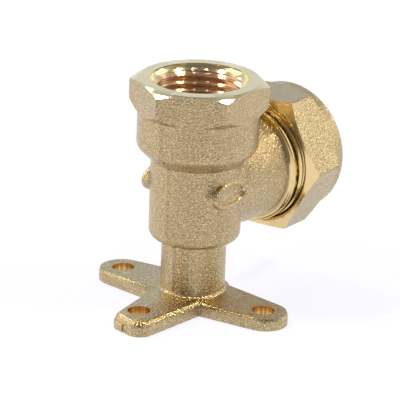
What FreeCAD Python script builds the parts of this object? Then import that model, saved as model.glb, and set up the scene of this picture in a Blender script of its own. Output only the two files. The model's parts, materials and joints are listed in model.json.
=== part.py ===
# Wall plate elbow: a hot-forged brass elbow with a three-hole wall plate, a female threaded outlet that
# points away from the wall, and a compression port for plastic pipe at its side, closed by a hexagon nut.
# Millimetres. The origin is on the outlet axis at the wall face. +Z leaves the wall along the outlet, and
# +X runs out along the pipe port.
import FreeCAD, Part
import math
import os

# Wall plate
plate_thickness = 3.5         # at the middle, before the forging draft
plate_draft_deg = 2.0         # the top falls away from the parting plane on both sides
plate_edge_round = 1.7
arm_root_radius = 7.4         # the arms taper from this circle under the stem
screw_reach = 19.5            # screw hole from the outlet axis
screw_hole_radius = 2.5
side_arm_tip_radius = 5.2
side_arm_tip_step = 0.3       # the tip's round is centred this far past its hole
end_arm_corner_radius = 3.2   # the third arm is blunt, with two rounded corners
end_arm_corner_offset = 2.5
end_arm_corner_reach = 22.4
trimmed_corner_offset = 0.9   # its other corner is drawn in, where the flash was trimmed
trimmed_corner_reach = 21.5

# Column: stem, waist and bell of the forging
stem_radius = 7.2
stem_foot_fillet = 1.0
stem_foot_sink = 0.3          # the foot fillet starts below the plate's top, so the draft leaves no ledge
stem_lip_round = 0.15         # edge of the lip that carries the foot where there is no arm
waist_radius = 10.2
waist_bottom = 14.7
waist_under_slope_deg = 25.0  # the waist's underside rises outwards from the stem
waist_round = 2.0
bell_radius = 13.45
bell_bottom = 33.6
bell_under_slope_deg = 45.0
bell_round = 2.0
bell_fillet = 0.8
outlet_height = 52.1
port_height = 27.6            # axis of the pipe port

# Outlet hexagon
outlet_flats = 27.0
outlet_corner_round = 1.0
outlet_face_radius = 13.25    # turned circle at the top of the hexagon
outlet_chamfer_deg = 26.0
outlet_hex_height = 7.4
outlet_hex_bottom = outlet_height - outlet_hex_height   # the corners run out into the bell from here

# Outlet thread G 1/2 and the water way
outlet_minor_radius = 9.315
outlet_mouth_radius = 10.75
outlet_mouth_land = 0.6       # straight part of the mouth, above its cone
thread_above_port = 9.0       # the thread stops this far above the port's axis, clear of its bore
outlet_thread_depth = outlet_height - port_height - thread_above_port
passage_radius = 7.0
drill_half_angle_deg = 59.0

# Spanner size of the nut, which sets the round sizes of the pipe port inwards
nut_flats = 30.0
nut_wall = 1.44               # brass between the nut's bore and its flats
thread_clearance = 0.06

# Pipe port of the forging
collar_start = 18.5
collar_length = 7.5
collar_radius = nut_flats / 2 - nut_wall - thread_clearance   # 13.5, thread M27 x 1.5
collar_chamfer = 0.6
collar_edge_break = 0.3
collar_step = 1.5             # the collar stands proud of the neck by this
collar_wall = 3.2             # brass between the socket and the thread's crests
neck_radius = collar_radius - collar_step
neck_flare = 2.0
neck_root_radius = neck_radius - neck_flare
neck_flare_end = 11.0         # along X, where the neck reaches its full radius
socket_radius = collar_radius - collar_wall
socket_depth = 4.0
seat_chamfer = 1.6            # cone in the socket's mouth that closes the split ring

# Spigot that the pipe slides over
pipe_gap = 2.4                # between the socket and the spigot
spigot_radius = socket_radius - pipe_gap
spigot_length = 14.5          # from the socket floor
spigot_wall = 2.4
spigot_bore_radius = spigot_radius - spigot_wall
spigot_nose_length = 1.6
spigot_nose_drop = 0.7
groove_depth = 1.25
groove_radius = spigot_radius - groove_depth
groove_width = 2.3
inner_groove_from_floor = 5.2
outer_groove_from_floor = 9.6
ring_cord_diameter = 1.78
ring_play = 0.03

# Insulating washer on the socket floor
washer_thickness = 1.2
washer_clearance = 0.12

# Plain oval cushions forged on both flanks
cushion_face = 10.4           # from the middle plane
cushion_half_length = 5.8
cushion_half_height = 3.2
cushion_centre_x = -0.8
cushion_edge_round = 0.6
cushion_rim = 1.2             # the rim stands round a shallow plain field
cushion_field_depth = 0.3

# Compression nut
nut_start = 21.5              # near face, at rest
nut_length = 14.5
nut_corner_round = 0.8
nut_rest_turn_deg = 0.4
nut_face_step = 0.4           # the turned circle of the near face is inside the flats by this
nut_near_face_radius = nut_flats / 2 - nut_face_step
nut_near_chamfer = 1.4
nut_corner_end = 8.8          # from the near face
nut_shoulder_end = 11.05
nut_collar_step = 0.15
nut_collar_radius = nut_flats / 2 - nut_collar_step
nut_rim_round = 0.8
nut_thread_length = 9.2
nut_mouth_chamfer = 0.8
nut_cone_step = 1.1           # from the collar's crests in to the cone's wide end
nut_cone_start_radius = collar_radius - nut_cone_step
nut_cone_land = 0.4           # straight bore ahead of the cone
nut_cone_half_angle_deg = 40.0
pipe_hole_play = 0.05
pipe_hole_radius = socket_radius + pipe_hole_play
pipe_hole_chamfer = 0.5

# Split ring that grips the pipe
split_ring_grip = 0.2         # its bore is this much tighter than the socket
split_ring_inner_radius = socket_radius - split_ring_grip
split_ring_play = 0.2
split_ring_outer_radius = nut_cone_start_radius - split_ring_play
split_ring_length = 5.6
split_ring_near_wall = 0.85
split_ring_near_radius = split_ring_inner_radius + split_ring_near_wall
split_ring_far_wall = 0.8
split_ring_far_radius = split_ring_inner_radius + split_ring_far_wall
split_ring_seat_gap = 0.2     # along X, from the nut's cone
split_ring_slit = 1.6
grip_groove_depth = 0.35
grip_groove_width = 0.6
grip_groove_count = 3

overlap = 1.0                 # solids that are fused run into each other by this
over_cut = 1.0                # and tools that cut run past the face they open by this

Z_AXIS = FreeCAD.Vector(0, 0, 1)
X_AXIS = FreeCAD.Vector(1, 0, 0)
Y_AXIS = FreeCAD.Vector(0, 1, 0)
ORIGIN = FreeCAD.Vector(0, 0, 0)
PORT_ORIGIN = FreeCAD.Vector(0, 0, port_height)


def tangent_points(before, corner, after, radius):
    """Where a round of the given radius leaves the two sides of a corner, and the middle of its arc."""
    into = (before - corner).normalize()
    out = (after - corner).normalize()
    half = into.getAngle(out) / 2
    setback = radius / math.tan(half)
    bisector = (into + out).normalize()
    centre = corner + bisector * (radius / math.sin(half))
    return corner + into * setback, centre - bisector * radius, corner + out * setback


def rounded_wire(corners):
    """Closed wire through (point, radius) corners. A radius of 0 keeps the corner sharp."""
    count = len(corners)
    stretches = []
    for index, (point, radius) in enumerate(corners):
        before = corners[index - 1][0]
        after = corners[(index + 1) % count][0]
        stretches.append(tangent_points(before, point, after, radius) if radius else (point, None, point))
    edges = []
    for index, (start, middle, end) in enumerate(stretches):
        if middle is not None:
            edges.append(Part.Arc(start, middle, end).toShape())
        following = stretches[(index + 1) % count][0]
        if end.distanceToPoint(following) > 1e-6:
            edges.append(Part.LineSegment(end, following).toShape())
    return Part.Wire(edges)


def turned(profile, axis):
    """Solid of revolution about Z, or about the pipe port's axis, from (along, radius, round) corners."""
    corners = []
    for along, radius, corner_round in profile:
        if axis is Z_AXIS:
            corners.append((FreeCAD.Vector(radius, 0, along), corner_round))
        else:
            corners.append((FreeCAD.Vector(along, 0, port_height + radius), corner_round))
    base = ORIGIN if axis is Z_AXIS else PORT_ORIGIN
    return Part.Face(rounded_wire(corners)).revolve(base, axis, 360)


def hexagon(flats, start, length, corner_round, axis):
    """Hexagonal bar with rounded corners: corners at +X and -X on the outlet, at +Y and -Y on the nut."""
    corner_distance = flats / 2 / math.cos(math.radians(30))
    corners = []
    for step in range(6):
        angle = math.radians(60 * step)
        across = corner_distance * math.cos(angle)
        other = corner_distance * math.sin(angle)
        if axis is Z_AXIS:
            corners.append((FreeCAD.Vector(across, other, start), corner_round))
        else:
            corners.append((FreeCAD.Vector(start, across, port_height + other), corner_round))
    return Part.Face(rounded_wire(corners)).extrude(axis * length)


def plate_arm(left_corner, right_corner, corner_radius, turn_deg):
    """Outline of one arm along +X: the root circle and a circle at each corner, joined by their tangents."""
    def at(angle):
        return FreeCAD.Vector(math.cos(angle), math.sin(angle), 0)

    sides = []
    for corner, side in ((left_corner, 1), (right_corner, -1)):
        centre = FreeCAD.Vector(corner[0], corner[1], 0)
        lean = math.atan2(centre.y, centre.x)
        sides.append((centre, lean + side * math.acos((arm_root_radius - corner_radius) / centre.Length)))
    (left, left_normal), (right, right_normal) = sides
    across = left - right
    end_normal = math.atan2(-across.x, across.y) if across.Length else 0.0
    root = at(left_normal) * arm_root_radius
    far_root = at(right_normal) * arm_root_radius

    def corner_arc(centre, start, finish):
        angles = (start, (start + finish) / 2, finish)
        return Part.Arc(*[centre + at(angle) * corner_radius for angle in angles]).toShape()

    left_arc = corner_arc(left, left_normal, end_normal)
    right_arc = corner_arc(right, end_normal, right_normal)
    edges = [Part.LineSegment(root, left + at(left_normal) * corner_radius).toShape(), left_arc]
    if across.Length:
        edges.append(Part.LineSegment(left + at(end_normal) * corner_radius,
                                      right + at(end_normal) * corner_radius).toShape())
    edges.append(right_arc)
    edges.append(Part.LineSegment(right + at(right_normal) * corner_radius, far_root).toShape())
    edges.append(Part.Arc(far_root, X_AXIS * -arm_root_radius, root).toShape())
    outline = Part.Wire(edges)
    outline.rotate(ORIGIN, Z_AXIS, turn_deg)
    return Part.Face(outline)


def stem_lip():
    """Half-round lip that carries the stem's foot on the side with no arm."""
    radius = stem_radius + stem_foot_fillet + stem_lip_round
    start = Y_AXIS * -radius
    end = Y_AXIS * radius
    arc = Part.Arc(start, X_AXIS * radius, end).toShape()
    return Part.Face(Part.Wire([arc, Part.LineSegment(end, start).toShape()]))


def rounded_slab(outline, edge_round):
    """The plate's thickness of an outline, its top edge rounded. The lip's straight side stays sharp."""
    slab = outline.extrude(Z_AXIS * plate_thickness)
    top = [edge for edge in slab.Edges if edge.BoundBox.ZMin > plate_thickness - 1e-6]
    rim = [edge for edge in top if edge.BoundBox.XLength > 1e-6 or edge.BoundBox.XMin < -1e-6]
    return slab.makeFillet(edge_round, rim)


def wall_plate():
    side_tip = (screw_reach + side_arm_tip_step, 0)
    full_corner = (end_arm_corner_reach, end_arm_corner_offset)
    trimmed_corner = (trimmed_corner_reach, -trimmed_corner_offset)
    arms = [
        plate_arm(side_tip, side_tip, side_arm_tip_radius, 90),
        plate_arm(side_tip, side_tip, side_arm_tip_radius, -90),
        plate_arm(full_corner, trimmed_corner, end_arm_corner_radius, 180),
    ]
    slabs = [rounded_slab(arm, plate_edge_round) for arm in arms]
    slabs.append(rounded_slab(stem_lip(), stem_lip_round))
    return slabs[0].fuse(slabs[1:]).cut(draft_wedges())


def draft_wedges():
    """The wedges that the forging draft takes off the plate's top, one each side of the parting plane."""
    reach = screw_reach + end_arm_corner_reach
    drop = reach * math.tan(math.radians(plate_draft_deg))
    wedges = []
    for side in (1, -1):
        ridge = FreeCAD.Vector(-reach, 0, plate_thickness)
        low = FreeCAD.Vector(-reach, side * reach, plate_thickness - drop)
        high = FreeCAD.Vector(-reach, side * reach, plate_thickness)
        triangle = Part.Face(Part.makePolygon([ridge, low, high, ridge]))
        wedges.append(triangle.extrude(X_AXIS * 2 * reach))
    return wedges[0].fuse(wedges[1])


def column():
    foot = plate_thickness - stem_foot_sink
    waist_edge = waist_bottom + (waist_radius - stem_radius) * math.tan(math.radians(waist_under_slope_deg))
    bell_edge = bell_bottom + (bell_radius - waist_radius) * math.tan(math.radians(bell_under_slope_deg))
    return turned([
        (foot / 2, 0, 0),
        (foot / 2, stem_radius + stem_foot_fillet, 0),
        (foot, stem_radius + stem_foot_fillet, 0),
        (foot, stem_radius, stem_foot_fillet),
        (waist_bottom, stem_radius, 0),
        (waist_edge, waist_radius, waist_round),
        (bell_bottom, waist_radius, bell_fillet),
        (bell_edge, bell_radius, bell_round),
        (outlet_hex_bottom + overlap, bell_radius, 0),
        (outlet_hex_bottom + overlap, 0, 0),
    ], Z_AXIS)


def outlet_hexagon():
    corner = outlet_flats / 2 / math.cos(math.radians(30))
    chamfer_drop = (corner - outlet_face_radius) * math.tan(math.radians(outlet_chamfer_deg))
    run_out = corner - bell_radius
    bar = hexagon(outlet_flats, outlet_hex_bottom, outlet_hex_height, outlet_corner_round, Z_AXIS)
    envelope = turned([
        (outlet_hex_bottom, 0, 0),
        (outlet_hex_bottom, bell_radius, 0),
        (outlet_hex_bottom + run_out, corner, 0),
        (outlet_height - chamfer_drop, corner, 0),
        (outlet_height, outlet_face_radius, 0),
        (outlet_height, 0, 0),
    ], Z_AXIS)
    return bar.common(envelope)


def neck_and_collar():
    end = collar_start + collar_length
    return turned([
        (0, 0, 0),
        (0, neck_root_radius, 0),
        (neck_flare_end, neck_radius, 0),
        (collar_start, neck_radius, 0),
        (collar_start, collar_radius - collar_edge_break, 0),
        (collar_start + collar_edge_break, collar_radius, 0),
        (end - collar_chamfer, collar_radius, 0),
        (end, collar_radius - collar_chamfer, 0),
        (end, 0, 0),
    ], X_AXIS)


def socket_floor():
    return collar_start + collar_length - socket_depth


def pipe_socket():
    """Ring-shaped space in the collar, round the spigot, with the split ring's seat in its mouth."""
    floor = socket_floor()
    end = collar_start + collar_length
    return turned([
        (floor, spigot_radius, 0),
        (floor, socket_radius, 0),
        (end - seat_chamfer, socket_radius, 0),
        (end, socket_radius + seat_chamfer, 0),
        (end + over_cut, socket_radius + seat_chamfer, 0),
        (end + over_cut, spigot_radius, 0),
    ], X_AXIS)


def groove_starts():
    return [socket_floor() + distance for distance in (inner_groove_from_floor, outer_groove_from_floor)]


def spigot():
    floor = socket_floor()
    nose = floor + spigot_length
    profile = [(floor - overlap, 0, 0), (floor - overlap, spigot_radius, 0)]
    for start in groove_starts():
        profile += [
            (start, spigot_radius, 0),
            (start, groove_radius, 0),
            (start + groove_width, groove_radius, 0),
            (start + groove_width, spigot_radius, 0),
        ]
    profile += [
        (nose - spigot_nose_length, spigot_radius, 0),
        (nose, spigot_radius - spigot_nose_drop, 0),
        (nose, 0, 0),
    ]
    return turned(profile, X_AXIS)


def drill_point(radius, small_radius=0.0):
    return (radius - small_radius) / math.tan(math.radians(drill_half_angle_deg))


def outlet_bore():
    thread_end = outlet_height - outlet_thread_depth
    passage_end = port_height - spigot_bore_radius
    mouth_cone = outlet_mouth_radius - outlet_minor_radius
    mouth_edge = outlet_height - outlet_mouth_land
    return turned([
        (passage_end - drill_point(passage_radius), 0, 0),
        (passage_end, passage_radius, 0),
        (thread_end - drill_point(outlet_minor_radius, passage_radius), passage_radius, 0),
        (thread_end, outlet_minor_radius, 0),
        (mouth_edge - mouth_cone, outlet_minor_radius, 0),
        (mouth_edge, outlet_mouth_radius, 0),
        (outlet_height + over_cut, outlet_mouth_radius, 0),
        (outlet_height + over_cut, 0, 0),
    ], Z_AXIS)


def port_bore():
    length = socket_floor() + spigot_length + over_cut
    return Part.makeCylinder(spigot_bore_radius, length, PORT_ORIGIN, X_AXIS)


def cushion_ellipse(inset):
    base = FreeCAD.Vector(cushion_centre_x, 0, port_height)
    long_end = base + X_AXIS * (cushion_half_length - inset)
    short_end = base + Z_AXIS * (cushion_half_height - inset)
    return Part.Face(Part.Wire(Part.Ellipse(long_end, short_end, base).toShape()))


def oval_cushion(side):
    """Raised oval on one flank: an ellipse pushed out of the waist to a flat face, its edge rounded."""
    block = cushion_ellipse(0).extrude(Y_AXIS * side * cushion_face)
    edge = [edge for edge in block.Edges if abs(edge.CenterOfMass.y - side * cushion_face) < 1e-6]
    return block.makeFillet(cushion_edge_round, edge)


def cushion_field(side):
    """What is pressed out of the oval's face, so that a rim is left."""
    tool = cushion_ellipse(cushion_rim).extrude(Y_AXIS * side * (cushion_field_depth + over_cut))
    tool.translate(Y_AXIS * side * (cushion_face - cushion_field_depth))
    return tool


def screw_holes():
    places = [
        FreeCAD.Vector(0, screw_reach, -over_cut),
        FreeCAD.Vector(0, -screw_reach, -over_cut),
        FreeCAD.Vector(-screw_reach, 0, -over_cut),
    ]
    length = plate_thickness + 2 * over_cut
    return [Part.makeCylinder(screw_hole_radius, length, place, Z_AXIS) for place in places]


def elbow_body():
    forging = wall_plate().fuse([
        column(), outlet_hexagon(), neck_and_collar(), oval_cushion(1), oval_cushion(-1),
    ]).cut([cushion_field(1), cushion_field(-1)])
    machined = forging.cut(pipe_socket()).fuse(spigot())
    return machined.cut([outlet_bore(), port_bore()] + screw_holes()).removeSplitter()


def nut_cone_start():
    return nut_start + nut_thread_length + nut_cone_land


def nut_cone_length(from_radius, to_radius):
    return (from_radius - to_radius) / math.tan(math.radians(nut_cone_half_angle_deg))


def compression_nut():
    corner = nut_flats / 2 / math.cos(math.radians(30))
    far = nut_start + nut_length
    bore = collar_radius + thread_clearance
    thread_end = nut_start + nut_thread_length
    cone_end = nut_cone_start() + nut_cone_length(nut_cone_start_radius, pipe_hole_radius)
    bar = hexagon(nut_flats, nut_start, nut_length, nut_corner_round, X_AXIS)
    bar.rotate(PORT_ORIGIN, X_AXIS, nut_rest_turn_deg)
    envelope = turned([
        (nut_start, 0, 0),
        (nut_start, nut_near_face_radius, 0),
        (nut_start + nut_near_chamfer, corner, 0),
        (nut_start + nut_corner_end, corner, 0),
        (nut_start + nut_shoulder_end, nut_collar_radius, 0),
        (far, nut_collar_radius, nut_rim_round),
        (far, 0, 0),
    ], X_AXIS)
    hollow = turned([
        (nut_start - over_cut, 0, 0),
        (nut_start - over_cut, bore + nut_mouth_chamfer, 0),
        (nut_start, bore + nut_mouth_chamfer, 0),
        (nut_start + nut_mouth_chamfer, bore, 0),
        (thread_end, bore, 0),
        (thread_end, nut_cone_start_radius, 0),
        (nut_cone_start(), nut_cone_start_radius, 0),
        (cone_end, pipe_hole_radius, 0),
        (far - pipe_hole_chamfer, pipe_hole_radius, 0),
        (far, pipe_hole_radius + pipe_hole_chamfer, 0),
        (far + over_cut, pipe_hole_radius + pipe_hole_chamfer, 0),
        (far + over_cut, 0, 0),
    ], X_AXIS)
    return bar.common(envelope).cut(hollow)


def split_ring():
    far_cone = nut_cone_length(split_ring_outer_radius, split_ring_far_radius)
    on_nut = nut_cone_start() + nut_cone_length(nut_cone_start_radius, split_ring_outer_radius)
    far = on_nut - split_ring_seat_gap + far_cone
    near = far - split_ring_length
    near_cone = split_ring_outer_radius - split_ring_near_radius
    pitch = split_ring_length / (grip_groove_count + 1)
    profile = [
        (near, split_ring_inner_radius, 0),
        (near, split_ring_near_radius, 0),
        (near + near_cone, split_ring_outer_radius, 0),
        (far - far_cone, split_ring_outer_radius, 0),
        (far, split_ring_far_radius, 0),
        (far, split_ring_inner_radius, 0),
    ]
    for index in range(grip_groove_count):
        middle = far - pitch * (index + 1)
        profile += [
            (middle + grip_groove_width / 2, split_ring_inner_radius, 0),
            (middle, split_ring_inner_radius + grip_groove_depth, 0),
            (middle - grip_groove_width / 2, split_ring_inner_radius, 0),
        ]
    corner = FreeCAD.Vector(near - over_cut, -split_ring_slit / 2, port_height)
    slit_length = split_ring_length + 2 * over_cut
    slit = Part.makeBox(slit_length, split_ring_slit, split_ring_outer_radius + over_cut, corner)
    return turned(profile, X_AXIS).cut(slit)


def o_ring(groove_start):
    middle_radius = groove_radius + ring_play + ring_cord_diameter / 2
    middle = PORT_ORIGIN + X_AXIS * (groove_start + groove_width / 2)
    return Part.makeTorus(middle_radius, ring_cord_diameter / 2, middle, X_AXIS)


def insulating_washer():
    floor = socket_floor()
    return turned([
        (floor, spigot_radius + washer_clearance, 0),
        (floor, socket_radius - washer_clearance, 0),
        (floor + washer_thickness, socket_radius - washer_clearance, 0),
        (floor + washer_thickness, spigot_radius + washer_clearance, 0),
    ], X_AXIS)


def main():
    os.makedirs("parts", exist_ok=True)
    inner_groove, outer_groove = groove_starts()
    pieces = {
        "elbow_body": elbow_body(),
        "insulating_washer": insulating_washer(),
        "o_ring_inner": o_ring(inner_groove),
        "o_ring_outer": o_ring(outer_groove),
        "split_ring": split_ring(),
        "compression_nut": compression_nut(),
    }
    for name, shape in pieces.items():
        shape.exportStep(os.path.join("parts", name + ".step"))
        print(name, len(shape.Solids), "solids", round(shape.Volume, 1), "mm3, valid:", shape.isValid())


main()
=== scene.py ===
import bmesh
import bpy
import json
import math
from mathutils import Matrix, Vector, noise


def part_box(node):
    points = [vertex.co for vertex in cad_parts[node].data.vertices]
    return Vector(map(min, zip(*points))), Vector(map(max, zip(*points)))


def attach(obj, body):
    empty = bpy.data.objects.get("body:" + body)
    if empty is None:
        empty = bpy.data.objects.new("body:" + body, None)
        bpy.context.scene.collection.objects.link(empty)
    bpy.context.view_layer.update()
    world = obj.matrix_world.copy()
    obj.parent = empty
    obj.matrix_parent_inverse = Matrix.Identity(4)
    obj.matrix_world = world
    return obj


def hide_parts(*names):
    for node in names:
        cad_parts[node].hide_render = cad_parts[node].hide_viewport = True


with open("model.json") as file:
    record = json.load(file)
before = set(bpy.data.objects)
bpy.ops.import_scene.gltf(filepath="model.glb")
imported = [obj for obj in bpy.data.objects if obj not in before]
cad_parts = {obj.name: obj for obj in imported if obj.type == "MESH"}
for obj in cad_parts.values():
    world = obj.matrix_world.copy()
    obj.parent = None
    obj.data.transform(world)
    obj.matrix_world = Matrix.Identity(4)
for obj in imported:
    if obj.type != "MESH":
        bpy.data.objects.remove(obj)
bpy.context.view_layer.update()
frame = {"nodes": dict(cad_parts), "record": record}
mm = 0.001
nodes = frame["nodes"]
mounts = {mount["name"]: mount for mount in frame["record"]["mounts"]}
portHeight = mounts["pipe_port"]["pos_m"][2]
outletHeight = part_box("elbow_body")[1].z
print("frame loaded: port axis", round(portHeight / mm, 2), "outlet", round(outletHeight / mm, 2))


def toLinear(hexCode):
    parts = [int(hexCode[i:i + 2], 16) / 255 for i in (1, 3, 5)]
    return [c / 12.92 if c <= 0.04045 else ((c + 0.055) / 1.055) ** 2.4 for c in parts] + [1.0]


def addNode(tree, kind, links=None, values=None, **settings):
    node = tree.nodes.new(kind)
    for name, value in settings.items():
        setattr(node, name, value)
    for socket, value in (values or {}).items():
        node.inputs[socket].default_value = value
    for socket, source in (links or {}).items():
        tree.links.new(source, node.inputs[socket])
    return node


def newMaterial(name, metallic, roughness):
    material = bpy.data.materials.new(name)
    material.use_nodes = True
    tree = material.node_tree
    tree.nodes.clear()
    shader = addNode(tree, "ShaderNodeBsdfPrincipled",
                     values={"Metallic": metallic, "Roughness": roughness})
    addNode(tree, "ShaderNodeOutputMaterial", {"Surface": shader.outputs["BSDF"]})
    place = addNode(tree, "ShaderNodeTexCoord").outputs["Object"]
    return material, tree, shader, place


def joinShader(tree, shader, colour, bump):
    tree.links.new(colour.outputs[2], shader.inputs["Base Color"])
    tree.links.new(bump.outputs["Normal"], shader.inputs["Normal"])


# most of what a noise texture gives lies in this span
noiseSpan = {"From Min": 0.3, "From Max": 0.7}

# hot-forged brass, shot-blasted: sandy and matt, and the dents of the blast break each highlight into specks
forgedLook = {
    "pit": "#a9966e",
    "skin": "#e1cea5",
    "dentMm": 0.45,         # about the real size of the blast's dents
    "dentSmooth": 0.35,
    "grainMm": 0.33,
    "blotchMm": 4.0,
    "blotchShade": 0.75,
    "toneSpan": (0.4, 0.72),
    "roughness": 0.27,
    "dentDepthMm": 0.09,
    "grainDepthMm": 0.15,
    "blotchDepthMm": 0.1,
}


def forgedBrass(name, look):
    material, tree, shader, place = newMaterial(name, 1.0, look["roughness"])
    dents = addNode(tree, "ShaderNodeTexVoronoi", {"Vector": place},
                    {"Scale": 1 / (look["dentMm"] * mm), "Smoothness": look["dentSmooth"]},
                    feature="SMOOTH_F1")
    grain = addNode(tree, "ShaderNodeTexNoise", {"Vector": place},
                    {"Scale": 1 / (look["grainMm"] * mm), "Detail": 2.0})
    blotch = addNode(tree, "ShaderNodeTexNoise", {"Vector": place},
                     {"Scale": 1 / (look["blotchMm"] * mm), "Detail": 3.0, "Roughness": 0.55})
    tone = addNode(tree, "ShaderNodeMapRange", {"Value": grain.outputs["Fac"]},
                   {"From Min": look["toneSpan"][0], "From Max": look["toneSpan"][1]})
    shade = addNode(tree, "ShaderNodeMapRange", {"Value": blotch.outputs["Fac"]},
                    {**noiseSpan, "To Min": look["blotchShade"], "To Max": 1.0})
    mixed = addNode(tree, "ShaderNodeMath", {0: tone.outputs["Result"], 1: shade.outputs["Result"]},
                    operation="MULTIPLY")
    colour = addNode(tree, "ShaderNodeMix", {"Factor": mixed.outputs[0]},
                     {6: toLinear(look["pit"]), 7: toLinear(look["skin"])}, data_type="RGBA")
    under = None
    for source, depth in ((blotch.outputs["Fac"], look["blotchDepthMm"]),
                          (dents.outputs["Distance"], look["dentDepthMm"]),
                          (grain.outputs["Fac"], look["grainDepthMm"])):
        bump = addNode(tree, "ShaderNodeBump", {"Height": source},
                       {"Strength": 1.0, "Distance": depth * mm})
        if under:
            tree.links.new(under.outputs["Normal"], bump.inputs["Normal"])
        under = bump
    joinShader(tree, shader, colour, under)
    return material


# brass turned on a lathe: bright and golden, with feed rings that pull each highlight out across them
turnedLook = {
    "colour": "#ecd9a8",
    "shade": "#dcc082",
    "roughness": 0.13,
    "glossSpan": (0.75, 1.3),
    "feedMm": 0.3,          # real feeds are near 0.1 mm, drawn coarser so that they show
    "feedDepthMm": 0.002,
    "smearMm": 2.5,
}
# the outlet's face and mouth are painted paler and less golden than the rest: a painted sheen standing for the
# bright backdrop these faces reflect
paleSheenLook = dict(turnedLook, colour="#efe4ba", shade="#e2d3a2")
# the bore is painted darker and more coppery than the rest: painted shade and painted reflection of light
# bouncing inside the deep hole; each crest throws a small glint
boreShadeLook = dict(turnedLook, colour="#f2d0ac", shade="#d8ae88", roughness=0.15)


def turnedBrass(name, look, axis):
    # rings round Z, or round the pipe port's axis: distance from the axis plus place along it
    material, tree, shader, place = newMaterial(name, 1.0, look["roughness"])
    shift, across = ((0, 0, 0), (1, 1, 0)) if axis == "Z" else ((0, 0, -portHeight), (0, 1, 1))
    moved = addNode(tree, "ShaderNodeVectorMath", {0: place}, {1: shift}, operation="ADD")
    flat = addNode(tree, "ShaderNodeVectorMath", {0: moved.outputs[0]}, {1: across}, operation="MULTIPLY")
    spread = addNode(tree, "ShaderNodeVectorMath", {0: flat.outputs[0]}, operation="LENGTH")
    parts = addNode(tree, "ShaderNodeSeparateXYZ", {"Vector": moved.outputs[0]})
    along = addNode(tree, "ShaderNodeMath", {0: spread.outputs["Value"], 1: parts.outputs[axis]},
                    operation="ADD")
    phase = addNode(tree, "ShaderNodeMath", {0: along.outputs[0]},
                    {1: 2 * math.pi / (look["feedMm"] * mm)}, operation="MULTIPLY")
    wave = addNode(tree, "ShaderNodeMath", {0: phase.outputs[0]}, operation="SINE")
    bump = addNode(tree, "ShaderNodeBump", {"Height": wave.outputs[0]},
                   {"Strength": 1.0, "Distance": look["feedDepthMm"] * mm})
    smear = addNode(tree, "ShaderNodeTexNoise", {"Vector": place},
                    {"Scale": 1 / (look["smearMm"] * mm), "Detail": 3.0})
    colour = addNode(tree, "ShaderNodeMix", {"Factor": smear.outputs["Fac"]},
                     {6: toLinear(look["shade"]), 7: toLinear(look["colour"])}, data_type="RGBA")
    low, high = look["glossSpan"]
    gloss = addNode(tree, "ShaderNodeMapRange", {"Value": smear.outputs["Fac"]},
                    {**noiseSpan, "To Min": look["roughness"] * low, "To Max": look["roughness"] * high})
    tree.links.new(gloss.outputs["Result"], shader.inputs["Roughness"])
    joinShader(tree, shader, colour, bump)
    return material


# brass drilled through: golden, with streaks along the hole where the chips rubbed
drilledLook = {
    "colour": "#e3c283",
    "shade": "#b98a4a",
    "roughness": 0.2,
    "streakMm": 0.5,
    "stretch": (1, 1, 0.04),
    "toneSpan": (0.35, 0.65),
    "depthMm": 0.02,
}


def drilledBrass(name, look):
    material, tree, shader, place = newMaterial(name, 1.0, look["roughness"])
    drawn = addNode(tree, "ShaderNodeVectorMath", {0: place}, {1: look["stretch"]}, operation="MULTIPLY")
    streak = addNode(tree, "ShaderNodeTexNoise", {"Vector": drawn.outputs[0]},
                     {"Scale": 1 / (look["streakMm"] * mm), "Detail": 2.0})
    tone = addNode(tree, "ShaderNodeMapRange", {"Value": streak.outputs["Fac"]},
                   {"From Min": look["toneSpan"][0], "From Max": look["toneSpan"][1]})
    colour = addNode(tree, "ShaderNodeMix", {"Factor": tone.outputs["Result"]},
                     {6: toLinear(look["shade"]), 7: toLinear(look["colour"])}, data_type="RGBA")
    bump = addNode(tree, "ShaderNodeBump", {"Height": streak.outputs["Fac"]},
                   {"Strength": 1.0, "Distance": look["depthMm"] * mm})
    joinShader(tree, shader, colour, bump)
    return material


# moulded EPDM rubber: black, satin, with a faint bloom
rubberLook = {
    "colour": "#17181a",
    "bloom": "#2b2c2e",
    "roughness": 0.48,
    "grainMm": 0.5,
    "depthMm": 0.01,
    "strength": 0.6,
}


def mouldedRubber(name, look):
    material, tree, shader, place = newMaterial(name, 0.0, look["roughness"])
    grain = addNode(tree, "ShaderNodeTexNoise", {"Vector": place},
                    {"Scale": 1 / (look["grainMm"] * mm), "Detail": 4.0})
    colour = addNode(tree, "ShaderNodeMix", {"Factor": grain.outputs["Fac"]},
                     {6: toLinear(look["colour"]), 7: toLinear(look["bloom"])}, data_type="RGBA")
    bump = addNode(tree, "ShaderNodeBump", {"Height": grain.outputs["Fac"]},
                   {"Strength": look["strength"], "Distance": look["depthMm"] * mm})
    joinShader(tree, shader, colour, bump)
    return material


# turned PTFE: waxy white, with soft turning rings
ptfeLook = {
    "colour": "#f1f0ea",
    "shade": "#e2e1d9",
    "roughness": 0.42,
    "ringMm": 0.35,
    "depthMm": 0.006,
    "strength": 0.6,
}


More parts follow.
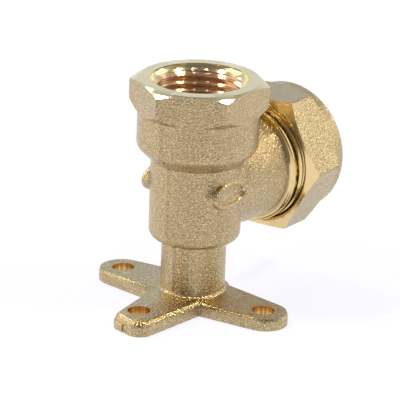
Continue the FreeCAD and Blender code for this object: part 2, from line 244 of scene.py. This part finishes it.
def turnedPtfe(name, look):
    material, tree, shader, place = newMaterial(name, 0.0, look["roughness"])
    moved = addNode(tree, "ShaderNodeVectorMath", {0: place}, {1: (0, 0, portHeight)}, operation="SUBTRACT")
    flat = addNode(tree, "ShaderNodeVectorMath", {0: moved.outputs[0]}, {1: (0, 1, 1)}, operation="MULTIPLY")
    spread = addNode(tree, "ShaderNodeVectorMath", {0: flat.outputs[0]}, operation="LENGTH")
    phase = addNode(tree, "ShaderNodeMath", {0: spread.outputs["Value"]},
                    {1: 2 * math.pi / (look["ringMm"] * mm)}, operation="MULTIPLY")
    wave = addNode(tree, "ShaderNodeMath", {0: phase.outputs[0]}, operation="SINE")
    tone = addNode(tree, "ShaderNodeMapRange", {"Value": wave.outputs[0]},
                   {"From Min": -1.0, "From Max": 1.0})
    colour = addNode(tree, "ShaderNodeMix", {"Factor": tone.outputs["Result"]},
                     {6: toLinear(look["shade"]), 7: toLinear(look["colour"])}, data_type="RGBA")
    bump = addNode(tree, "ShaderNodeBump", {"Height": wave.outputs[0]},
                   {"Strength": look["strength"], "Distance": look["depthMm"] * mm})
    joinShader(tree, shader, colour, bump)
    return material


forged = forgedBrass("hot-forged blasted brass", forgedLook)
# the outlet's turned brass is painted paler and less golden than the rest: a painted sheen
outletTurned = turnedBrass("turned brass outlet", paleSheenLook, "Z")
portTurned = turnedBrass("turned brass port", turnedLook, "X")
# the bore's brass is painted darker and redder than the rest: painted shade and painted reflection
outletTapped = turnedBrass("tapped brass bore", boreShadeLook, "Z")
drilled = drilledBrass("drilled brass", drilledLook)
rubber = mouldedRubber("moulded EPDM rubber", rubberLook)
ptfe = turnedPtfe("turned PTFE", ptfeLook)
print("materials made")

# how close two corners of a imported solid, or two points of a cut line, are taken as one, and which slivers go
weld = {"merge": 0.0004, "sliver": 0.0002, "line": 0.05}


def newPiece(name, bm):
    mesh = bpy.data.meshes.new(name)
    bm.to_mesh(mesh)
    bm.free()
    piece = bpy.data.objects.new(name, mesh)
    bpy.context.scene.collection.objects.link(piece)
    return piece


def mergedCopy(nodeName, pieceName):
    bm = bmesh.new()
    bm.from_mesh(nodes[nodeName].data)
    bmesh.ops.remove_doubles(bm, verts=bm.verts, dist=weld["merge"] * mm)
    bmesh.ops.dissolve_degenerate(bm, edges=bm.edges, dist=weld["sliver"] * mm)
    return newPiece(pieceName, bm)


def helix(name, profile, pitch, turns, axis, centre, stepsPerTurn=72):
    # a closed profile of (radius, along) corners, screwed right-handed along its axis
    bm = bmesh.new()
    corners = []
    for radius, along in profile:
        point = (radius, 0, along) if axis == "Z" else (along, 0, radius)
        corners.append(bm.verts.new((Vector(point) + Vector(centre) / mm) * mm))
    edges = [bm.edges.new((corners[i - 1], corners[i])) for i in range(len(corners))]
    direction = Vector((0, 0, 1)) if axis == "Z" else Vector((1, 0, 0))
    bmesh.ops.spin(bm, geom=corners + edges, cent=centre, axis=direction, angle=2 * math.pi * turns,
                   steps=int(stepsPerTurn * turns), dvec=direction * pitch * mm / stepsPerTurn,
                   use_merge=False)
    ends = [edge for edge in bm.edges if len(edge.link_faces) == 1]
    bmesh.ops.holes_fill(bm, edges=ends, sides=len(profile))
    bmesh.ops.recalc_face_normals(bm, faces=bm.faces)
    return newPiece(name, bm)


def cutAway(piece, tool):
    change = piece.modifiers.new("cut", "BOOLEAN")
    change.object = tool
    change.operation = "DIFFERENCE"
    change.solver = "EXACT"
    graph = bpy.context.evaluated_depsgraph_get()
    graph.update()
    result = bpy.data.meshes.new_from_object(piece.evaluated_get(graph))
    result.name = piece.name
    piece.modifiers.clear()
    old = piece.data
    piece.data = result
    bpy.data.meshes.remove(old)
    bpy.data.objects.remove(tool)


# G 1/2 thread in the outlet, millimetres: the upper flank lies at 45 degrees, the lower one is a little steeper,
# and the root is rounded, so that each crest throws back the same lamps as the mouth's cone
outletThread = {
    "pitch": 1.814,
    "minor": 9.315,
    "deep": 0.78,
    "lower": 0.69,
    "root": 0.07,
    "round": 0.12,
    "depth": 14.6,
    "inside": 0.15,         # the tool stands this far out of the metal
    "past": 2.0,            # and runs out this far past the mouth
}


def cutOutletThread(piece, look):
    bottom = outletHeight / mm - look["depth"]
    groove = []
    for side, reach in ((-1, look["lower"]), (1, look["deep"])):
        for deep, apart in ((0.0, look["root"] + reach),
                            (look["deep"] - look["round"], look["root"] + look["round"]),
                            (look["deep"], look["root"] / 2)):
            groove.append((look["minor"] + deep, bottom + side * apart))
    groove.sort(key=lambda corner: corner[1])
    inside = look["minor"] - look["inside"]
    groove = [(inside, groove[0][1])] + groove + [(inside, groove[-1][1])]
    turns = (look["depth"] + look["past"]) / look["pitch"]
    cutAway(piece, helix("outlet_tap", groove, look["pitch"], turns, "Z", (0, 0, 0)))


# M27 x 1.5 thread on the collar, millimetres
collarThread = {
    "pitch": 1.5,
    "major": 13.5,
    "minor": 12.6,
    "root": 0.26,
    "crest": 1.28,
    "start": 20.5,
    "end": 26.6,
    "outside": 0.1,
}


def cutCollarThread(piece, look):
    slope = (look["crest"] - look["root"]) / 2 / (look["major"] - look["minor"])
    outside = look["major"] + look["outside"]
    wide = look["crest"] / 2 + look["outside"] * slope
    narrow = look["root"] / 2
    groove = [(outside, look["start"] - wide), (outside, look["start"] + wide),
              (look["minor"], look["start"] + narrow), (look["minor"], look["start"] - narrow)]
    turns = (look["end"] - look["start"]) / look["pitch"]
    cutAway(piece, helix("collar_die", groove, look["pitch"], turns, "X", (0, 0, portHeight)))


# the forging folds in a little under each corner of the hexagon, where it runs out into the bell, millimetres
crease = {"radius": 13.9, "height": 44.75, "thick": 0.35, "corners": 10, "steps": 96}


def foldCorners(piece, look):
    bm = bmesh.new()
    circle = []
    for i in range(look["corners"]):
        turn = 2 * math.pi * i / look["corners"]
        circle.append(bm.verts.new(((look["radius"] + look["thick"] * math.cos(turn)) * mm, 0,
                                    (look["height"] + look["thick"] * math.sin(turn)) * mm)))
    loop = [bm.edges.new((circle[i - 1], circle[i])) for i in range(len(circle))]
    bmesh.ops.spin(bm, geom=circle + loop, cent=(0, 0, 0), axis=(0, 0, 1), angle=2 * math.pi,
                   steps=look["steps"], use_merge=True)
    bmesh.ops.recalc_face_normals(bm, faces=bm.faces)
    cutAway(piece, newPiece("crease_tool", bm))


def settleOrder(piece):
    # cutting leaves corners and faces in a chance order: a fixed one gives the same flash line in each run
    bm = bmesh.new()
    bm.from_mesh(piece.data)
    way = Vector((0.613, 0.237, 0.754))
    bm.verts.sort(key=lambda vert: vert.co.dot(way))
    bm.edges.sort(key=lambda edge: (edge.verts[0].co + edge.verts[1].co).dot(way))
    bm.faces.sort(key=lambda face: face.calc_center_median().dot(way))
    bm.to_mesh(piece.data)
    bm.free()


body = mergedCopy("elbow_body", "elbow_forging")
cutOutletThread(body, outletThread)
cutCollarThread(body, collarThread)
foldCorners(body, crease)
settleOrder(body)
print("threads cut:", len(body.data.polygons), "faces")

# which faces of the forging were machined afterwards, millimetres
machining = {
    "collarStart": 18.4,
    "portBore": 5.6,
    "outletBore": 11.0,
    "boreFloor": 14.0,
    "tapFloor": 34.6,
    "coneFoot": 50.0,
    "topFace": 50.6,
    "landEnd": 51.0,
    "holes": ((0, 19.5), (0, -19.5), (-19.5, 0)),
    "holeRadius": 2.55,
    "plateTop": 4.2,
}
# how far a face looks up, or along the port on the nut, as its normal's share of that axis
facing = {"level": 0.8, "slant": 0.5, "cone": math.sqrt(0.5), "coneSlack": 0.03, "nutEnd": 0.75}
# how far a face looks away from the axis, times its distance from it
outward = {"boreStep": 2.0, "nutBore": -0.1}
bodyFinishes = {"forged": forged, "faced": outletTurned, "port": portTurned, "tapped": outletTapped,
                "drilled": drilled}
nutFinishes = {"forged": forged, "port": portTurned}


def bodyFinish(spot, normal):
    radius = math.hypot(spot.x, spot.y)
    radial = normal.x * spot.x + normal.y * spot.y
    portRadius = math.hypot(spot.y, spot.z - portHeight / mm)
    portRadial = normal.y * spot.y + normal.z * (spot.z - portHeight / mm)
    if spot.x > machining["collarStart"]:
        return "port"
    if spot.x > 0 and portRadius < machining["portBore"] and portRadial < 0:
        return "port"
    if spot.z > machining["topFace"] and normal.z > facing["level"]:
        return "faced"
    if spot.z > machining["boreFloor"] and radius < machining["outletBore"]:
        onCone = spot.z > machining["coneFoot"] and abs(normal.z - facing["cone"]) < facing["coneSlack"]
        if radial < 0 and (onCone or spot.z > machining["landEnd"]):
            return "faced"
        if radial < 0:
            return "tapped"
        if spot.z > machining["tapFloor"] and abs(normal.z) > facing["slant"] and radial < outward["boreStep"]:
            return "tapped"
    for x, y in machining["holes"]:
        near = math.hypot(spot.x - x, spot.y - y) < machining["holeRadius"]
        if near and spot.z < machining["plateTop"] and abs(normal.z) < facing["slant"]:
            return "drilled"
    return "forged"


def nutFinish(spot, normal):
    radial = normal.y * spot.y + normal.z * (spot.z - portHeight / mm)
    return "port" if radial < outward["nutBore"] or abs(normal.x) > facing["nutEnd"] else "forged"


# edges that turn by more than this many degrees stay sharp
shading = {"sharpAngle": 23, "weight": 80}


def finishFaces(piece, finishes, rule):
    order = list(finishes)
    for material in finishes.values():
        piece.data.materials.append(material)
    for face in piece.data.polygons:
        face.material_index = order.index(rule(face.center / mm, face.normal))
    piece.data.shade_smooth()
    piece.data.set_sharp_from_angle(angle=math.radians(shading["sharpAngle"]))
    # two machined finishes always meet in a sharp edge
    beside = {}
    for face in piece.data.polygons:
        for key in face.edge_keys:
            beside.setdefault(key, set()).add(face.material_index)
    for edge in piece.data.edges:
        if len(beside[edge.key] - {order.index("forged")}) > 1:
            edge.use_edge_sharp = True
    normals = piece.modifiers.new("even normals", "WEIGHTED_NORMAL")
    normals.keep_sharp = True
    normals.weight = shading["weight"]


finishFaces(body, bodyFinishes, bodyFinish)
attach(body, "fitting")
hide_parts("elbow_body")

nut = mergedCopy("compression_nut", "nut_forging")
finishFaces(nut, nutFinishes, nutFinish)
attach(nut, "nut")
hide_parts("compression_nut")
print("forgings finished:", len(nut.data.polygons), "faces on the nut")


def finishMark(piece, sharpAngle):
    piece.data.materials.append(forged)
    piece.data.shade_smooth()
    piece.data.set_sharp_from_angle(angle=math.radians(sharpAngle))


# thin ridge where the two forging dies met, left after the flash was trimmed, millimetres
flashLine = {
    "halfWidth": 0.5,
    "proud": 0.22,
    "tuck": -0.08,
    "sunk": 0.6,
    "stepMm": 0.7,
    "wobble": 0.4,
    "widthWaves": 0.9,      # waves to a millimetre
    "heightWaves": 1.4,
    "sideShift": 7,         # so that the two edges differ
    "sharpAngle": 50,
    # stretches that it runs along: lowest and highest, then from and to along X
    "stretches": ((4.6, 15, -30, -7), (15, 34, -30, -9.9), (34, 49.5, -30, -10.9),
                  (4.6, 15, 7, 9.5), (15, 24, 9.8, 18.3), (37, 49.5, 13.2, 18.3)),
}


def makeFlashLine(look):
    bm = bmesh.new()
    bm.from_mesh(body.data)
    bmesh.ops.bisect_plane(bm, geom=bm.verts[:] + bm.edges[:] + bm.faces[:], plane_co=(0, 0, 0),
                           plane_no=(0, 1, 0), clear_inner=True, clear_outer=True)
    bmesh.ops.remove_doubles(bm, verts=bm.verts, dist=weld["line"] * mm)
    away = []
    for edge in bm.edges:
        middle = (edge.verts[0].co + edge.verts[1].co) / 2 / mm
        if not any(low <= middle.z < high and start < middle.x < end
                   for low, high, start, end in look["stretches"]):
            away.append(edge)
    bmesh.ops.delete(bm, geom=away, context="EDGES")
    for edge in bm.edges[:]:
        cuts = int(edge.calc_length() / mm / look["stepMm"])
        if cuts:
            bmesh.ops.subdivide_edges(bm, edges=[edge], cuts=cuts)
    middleRow = bm.verts[:]
    rows = {}
    for side in (-1, 1):
        spine = [edge for edge in bm.edges if all(vert in middleRow for vert in edge.verts)]
        grown = bmesh.ops.extrude_edge_only(bm, edges=spine)
        rows[side] = [item for item in grown["geom"] if isinstance(item, bmesh.types.BMVert)]
    for side, row in rows.items():
        for vert in row:
            spot = vert.co / mm * look["widthWaves"] + Vector((0, look["sideShift"] * side, 0))
            vert.co.y += side * look["halfWidth"] * (1 + look["wobble"] * noise.noise(spot)) * mm
    for vert in bm.verts:
        found, place, normal, index = body.closest_point_on_mesh(vert.co)
        height = look["proud"] * (1 + look["wobble"] * noise.noise(vert.co / mm * look["heightWaves"]))
        lift = height if vert in middleRow else look["tuck"]
        vert.co = place + normal * lift * mm
    for face in bm.faces:
        face.normal_update()
        found, place, normal, index = body.closest_point_on_mesh(face.calc_center_median())
        if face.normal.dot(normal) < 0:
            face.normal_flip()
    bmesh.ops.solidify(bm, geom=bm.faces[:], thickness=look["sunk"] * mm)
    bmesh.ops.recalc_face_normals(bm, faces=bm.faces)
    return newPiece("flash_line", bm)


flash = makeFlashLine(flashLine)
finishMark(flash, flashLine["sharpAngle"])
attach(flash, "fitting")
print("flash line:", len(flash.data.polygons), "faces")

# ledge left at the end arm's tip where the flash was trimmed off, on one side of the parting line, millimetres
trimLedge = {
    "start": (-25.28, 0.12),
    "startWide": 1.5,
    "corner": (-21.5, 0.9),
    "arc": (165, 112),
    "outer": 3.46,
    "inner": 2.0,
    "steps": 7,
    "foot": 0.06,
    "top": 1.8,
    "edge": 0.22,
    "sharpAngle": 35,
}


def makeTrimLedge(look):
    bm = bmesh.new()
    startX, startY = look["start"]
    first, last = look["arc"]
    steps = range(look["steps"] + 1)
    outline = [(startX, startY)]
    for reach, order in ((look["outer"], steps), (look["inner"], reversed(steps))):
        for i in order:
            turn = math.radians(first + (last - first) * i / look["steps"])
            outline.append((look["corner"][0] + reach * math.cos(turn),
                            look["corner"][1] + reach * math.sin(turn)))
    outline.append((startX + look["startWide"], startY))
    base = bm.faces.new([bm.verts.new((x * mm, y * mm, look["foot"] * mm)) for x, y in outline])
    grown = bmesh.ops.extrude_face_region(bm, geom=[base])
    raised = [item for item in grown["geom"] if isinstance(item, bmesh.types.BMVert)]
    bmesh.ops.translate(bm, verts=raised, vec=(0, 0, (look["top"] - look["foot"]) * mm))
    bmesh.ops.recalc_face_normals(bm, faces=bm.faces)
    # the top's rim and the upright edge at the start are rounded
    rim = [edge for edge in bm.edges if all(vert in raised for vert in edge.verts)]
    rim += [edge for edge in bm.edges if all(vert.co.x / mm < startX + 0.01 for vert in edge.verts)]
    bmesh.ops.bevel(bm, geom=rim, offset=look["edge"] * mm, offset_type="OFFSET", affect="EDGES", segments=3,
                    profile=0.5, material=-1)
    return newPiece("trim_ledge", bm)


ledge = makeTrimLedge(trimLedge)
finishMark(ledge, trimLedge["sharpAngle"])
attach(ledge, "fitting")
print("trim ledge:", len(ledge.data.polygons), "faces")

for nodeName, material in (("split_ring", portTurned), ("o_ring_inner", rubber), ("o_ring_outer", rubber),
                           ("insulating_washer", ptfe)):
    slots = nodes[nodeName].data.materials
    slots.clear()
    slots.append(material)
print("inner pieces dressed")

# camera fitted to the photograph: where it stands, how it leans, and which point of the picture it looks at
cameraSet = {
    "azimuth": -53.9,
    "elevation": 20.0,
    "lean": 2.05,
    "distance": 736.7,
    "pixelsPerMm": 4.543,
    "targetZ": 28.21,
    "targetPixel": (196.1, 181.1),
    "picture": 400,
    "sensor": 36.0,
    "clip": (0.05, 20),
}


def setCamera(look):
    azimuth = math.radians(look["azimuth"])
    elevation = math.radians(look["elevation"])
    lean = math.radians(look["lean"])
    back = Vector((math.sin(azimuth) * math.cos(elevation), -math.cos(azimuth) * math.cos(elevation),
                   math.sin(elevation)))
    side = Vector((math.cos(azimuth), math.sin(azimuth), 0))
    up = back.cross(side)
    across = side * math.cos(lean) + up * math.sin(lean)
    upright = up * math.cos(lean) - side * math.sin(lean)
    data = bpy.data.cameras.new("camera")
    camera = bpy.data.objects.new("camera", data)
    bpy.context.scene.collection.objects.link(camera)
    half = look["picture"] / 2
    data.sensor_width = look["sensor"]
    data.lens = look["sensor"] * look["pixelsPerMm"] * look["distance"] / look["picture"]
    data.shift_x = (half - look["targetPixel"][0]) / look["picture"]
    data.shift_y = (look["targetPixel"][1] - half) / look["picture"]
    data.clip_start, data.clip_end = look["clip"]
    place = Vector((0, 0, look["targetZ"] * mm)) + back * look["distance"] * mm
    camera.matrix_world = Matrix((
        (across.x, upright.x, back.x, place.x),
        (across.y, upright.y, back.y, place.y),
        (across.z, upright.z, back.z, place.z),
        (0, 0, 0, 1),
    ))
    bpy.context.scene.camera = camera
    return side, Vector((back.x, back.y, 0)).normalized()


viewSide, viewLevel = setCamera(cameraSet)

# white table, lit from below so that no hard shadow falls on it, large enough to fill the picture
floorSet = {"size": 3.0, "colour": "#808286", "glowColour": "#f4f4ff", "glow": 0.83, "dropMm": 0.02}
bm = bmesh.new()
bmesh.ops.create_grid(bm, x_segments=1, y_segments=1, size=floorSet["size"])
bmesh.ops.translate(bm, verts=bm.verts, vec=(0, 0, -floorSet["dropMm"] * mm))
floor = newPiece("floor", bm)
glass, tree, shader, place = newMaterial("white opal glass", 0.0, 0.9)
shader.inputs["Base Color"].default_value = toLinear(floorSet["colour"])
shader.inputs["Emission Color"].default_value = toLinear(floorSet["glowColour"])
shader.inputs["Emission Strength"].default_value = floorSet["glow"]
floor.data.materials.append(glass)

# soft boxes round the fitting: degrees round from the camera (to its right), degrees up, metres, watts
lamps = {
    "left": {"round": -92, "up": 22, "far": 0.8, "size": (0.62, 0.6), "power": 1.7, "colour": "#fff6d8"},
    "right": {"round": 112, "up": 20, "far": 0.8, "size": (0.45, 0.55), "power": 1.2, "colour": "#fff1d8"},
    "highRight": {"round": 80, "up": 56, "far": 0.85, "size": (0.12, 0.12), "power": 3.0, "colour": "#ffeccb"},
    "highLeft": {"round": -80, "up": 56, "far": 0.85, "size": (0.12, 0.12), "power": 3.0, "colour": "#ffeccb"},
    "topRight": {"round": 31, "up": 68, "far": 0.85, "size": (0.03, 0.03), "power": 0.09},
    "topLeft": {"round": -31, "up": 68, "far": 0.85, "size": (0.03, 0.03), "power": 0.09},
    "backLeft": {"round": -140, "up": 36, "far": 0.85, "size": (0.25, 0.25), "power": 0.9},
    "glintRight": {"round": 148, "up": 62, "far": 0.9, "size": (0.08, 0.08), "power": 0.35},
    "glintLeft": {"round": -147, "up": 55, "far": 0.9, "size": (0.08, 0.08), "power": 0.35},
}
lampAim = Vector((0, 0, 0.03))
for name, lamp in lamps.items():
    turn = math.radians(lamp["round"])
    climb = math.radians(lamp["up"])
    towards = (viewLevel * math.cos(turn) + viewSide * math.sin(turn)) * math.cos(climb)
    towards.z = math.sin(climb)
    data = bpy.data.lights.new(name, "AREA")
    data.shape = "RECTANGLE"
    data.size, data.size_y = lamp["size"]
    data.energy = lamp["power"]
    data.color = toLinear(lamp.get("colour", "#ffffff"))[:3]
    light = bpy.data.objects.new(name, data)
    bpy.context.scene.collection.objects.link(light)
    light.location = towards * lamp["far"] + lampAim
    light.rotation_euler = towards.to_track_quat("Z", "Y").to_euler()
print("camera and", len(lamps), "lamps set")

# a white tent round it all: cool and brighter behind the fitting, dimmer and warmer on the camera's side
tent = {
    "front": "#f4efe6",
    "behind": "#e2e9f2",
    "frontGlow": 0.28,
    "behindGlow": 1.25,
    "foot": 1.0,
    "top": 0.42,
    "topFrom": 0.9,
    "turnSpan": 0.8,
}
world = bpy.data.worlds.new("tent")
bpy.context.scene.world = world
world.use_nodes = True
tree = world.node_tree
tree.nodes.clear()
where = addNode(tree, "ShaderNodeTexCoord").outputs["Generated"]
depth = addNode(tree, "ShaderNodeVectorMath", {0: where}, {1: -viewLevel}, operation="DOT_PRODUCT")
share = addNode(tree, "ShaderNodeMapRange", {"Value": depth.outputs["Value"]},
                {"From Min": -tent["turnSpan"], "From Max": tent["turnSpan"]})
parts = addNode(tree, "ShaderNodeSeparateXYZ", {"Vector": where})
dim = addNode(tree, "ShaderNodeMapRange", {"Value": parts.outputs["Z"]},
              {"From Min": 0.0, "From Max": tent["topFrom"], "To Min": tent["foot"], "To Max": tent["top"]})
glow = addNode(tree, "ShaderNodeMapRange", {"Value": share.outputs["Result"]},
               {"To Min": tent["frontGlow"], "To Max": tent["behindGlow"]})
strength = addNode(tree, "ShaderNodeMath", {0: glow.outputs["Result"], 1: dim.outputs["Result"]},
                   operation="MULTIPLY")
tint = addNode(tree, "ShaderNodeMix", {"Factor": share.outputs["Result"]},
               {6: toLinear(tent["front"]), 7: toLinear(tent["behind"])}, data_type="RGBA")
sky = addNode(tree, "ShaderNodeBackground", {"Strength": strength.outputs[0], "Color": tint.outputs[2]})
addNode(tree, "ShaderNodeOutputWorld", {"Surface": sky.outputs["Background"]})
bpy.context.scene.view_settings.view_transform = "Standard"
